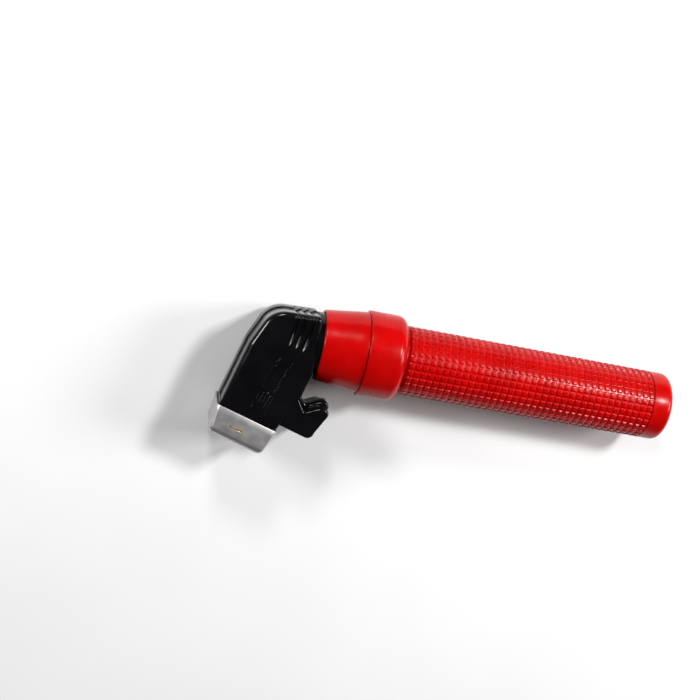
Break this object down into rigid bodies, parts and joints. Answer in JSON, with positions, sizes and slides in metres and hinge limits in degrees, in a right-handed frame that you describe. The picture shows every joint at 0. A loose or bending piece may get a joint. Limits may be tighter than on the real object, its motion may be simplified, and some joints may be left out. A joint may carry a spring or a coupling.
{
  "type": "electrode holder",
  "caption": "Twist-grip welding electrode holder: angled black head with a metal tip cap, a thumb tab and a long round studded handle.",
  "frame": {"origin": "on the handle's axis, in the plane of the cable end", "axes": "+X along the handle towards the cable end; +Z normal to the head's broad faces; the head's tip points towards -Y, so the part lies on its side as it does on a bench"},
  "size_m": [0.2632, 0.0893, 0.0496],
  "materials": {
    "black_plastic": "gloss moulded, heat resistant",
    "red_plastic": "gloss moulded, studded grip",
    "nickel_sheet": "satin deep-drawn sheet",
    "insert_plastic": "matt fibre-filled",
    "brass": "machined",
    "steel": "turned, zinc plated",
    "spring_steel": "oil-black",
    "rubber": "matt"
  },
  "bodies": {
    "head": {"head_shell": "black_plastic", "tip_cap": "nickel_sheet", "tip_insert": "insert_plastic", "jaw_block": "brass", "rocker_pin": "steel", "stem_tube": "brass", "stem_pins": "steel", "lock_washer": "steel", "lock_nut": "brass", "neck_seal": "rubber", "cable_socket": "brass", "socket_pin": "steel", "cable_screws": "steel"},
    "rocker": {"clamp_rocker": "brass"},
    "carriage": {"push_rod": "steel", "return_spring": "spring_steel", "rod_slider": "brass", "cross_pin": "steel", "thrust_ring": "steel"},
    "handle": {"handle_grip": "red_plastic", "front_collar": "red_plastic", "drive_nut": "brass", "front_thrust_washer": "steel", "rear_thrust_washer": "steel", "retaining_ring": "spring_steel"}
  },
  "joints": [
    {"name": "push_rod_slide", "type": "slide", "parent": "head", "child": "carriage", "axis": [1, 0, 0], "range_m": [0, 0.0043], "deforming": ["return_spring"]},
    {"name": "handle_twist", "type": "hinge", "parent": "carriage", "child": "handle", "pos_m": [0, 0, 0], "axis": [1, 0, 0], "range_deg": [0, 516]},
    {"name": "rocker_pivot", "type": "hinge", "parent": "head", "child": "rocker", "pos_m": [-0.23822, -0.0226, 0], "axis": [0, 0, -1], "range_deg": [0, 11.01]}
  ],
  "couplings": [
    {"joint": "push_rod_slide", "follows": "handle_twist", "m_per_rad": 0.00047746},
    {"joint": "rocker_pivot", "follows": "handle_twist", "ratio": 0.021318}
  ]
}
